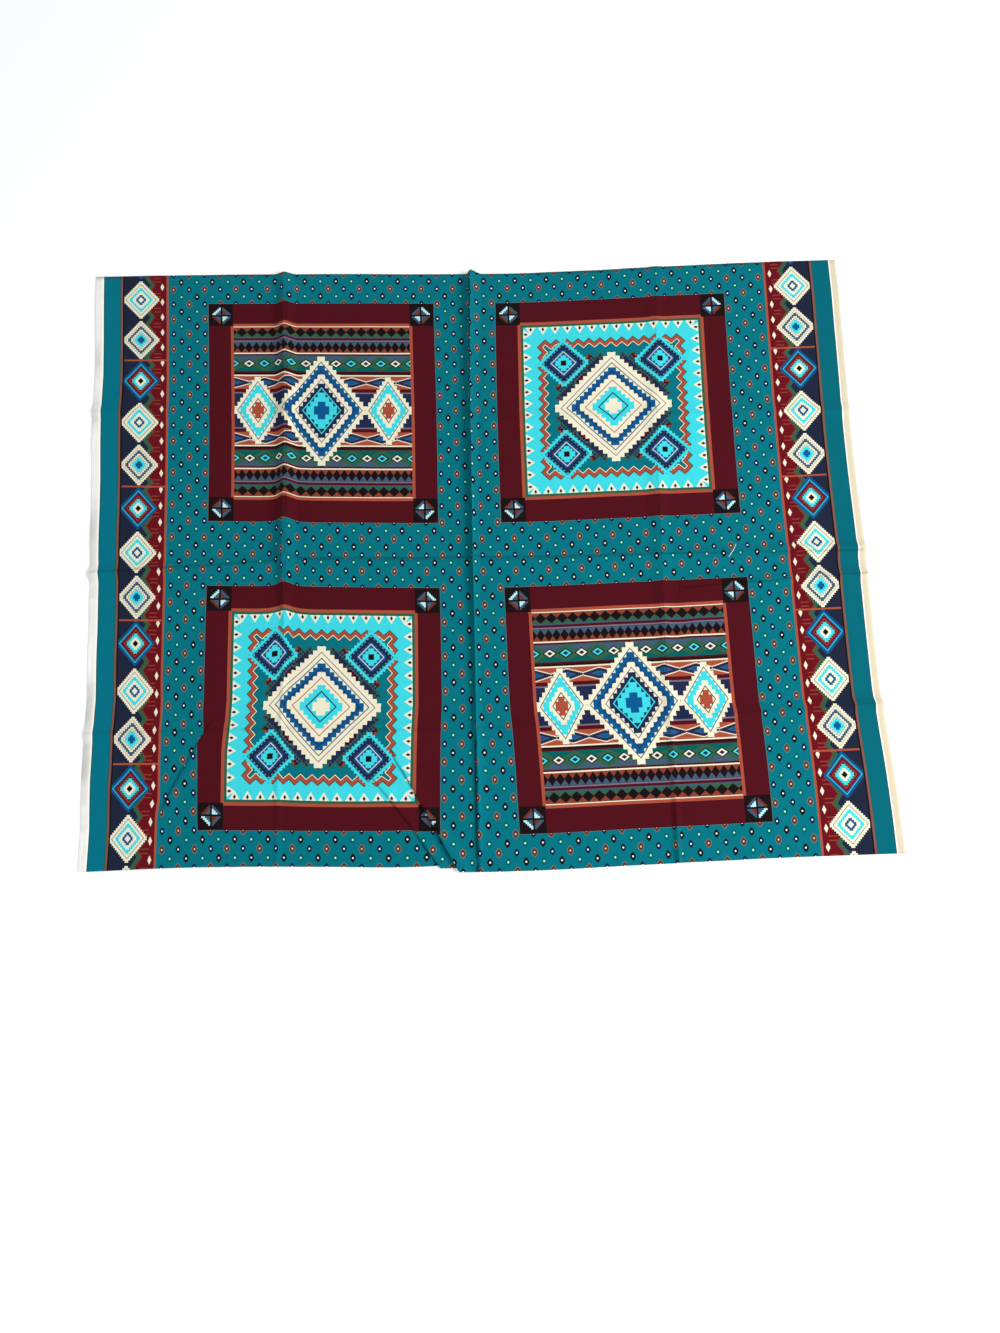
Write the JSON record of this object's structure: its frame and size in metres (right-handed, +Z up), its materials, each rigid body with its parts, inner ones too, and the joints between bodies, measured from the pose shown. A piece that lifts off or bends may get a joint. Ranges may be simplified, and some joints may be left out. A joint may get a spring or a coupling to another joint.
{
  "type": "printed fabric panel",
  "caption": "Rectangular printed cotton panel lying loose and unironed, with storage folds, pleats at its lower edge and selvages at its sides.",
  "frame": {"origin": "middle of the laid cloth's bounding box, on the table surface it rests on", "axes": "+X across the cloth from its left selvage to its right selvage, +Y up the print from the lower cut edge to the upper cut edge, +Z up from the table"},
  "size_m": [1.1388, 0.8918, 0.0158],
  "materials": {
    "printed_cotton": "matte plain weave, printed on its face, paler on its back"
  },
  "bodies": {
    "root": {"printed_panel": "printed_cotton"}
  },
  "joints": []
}
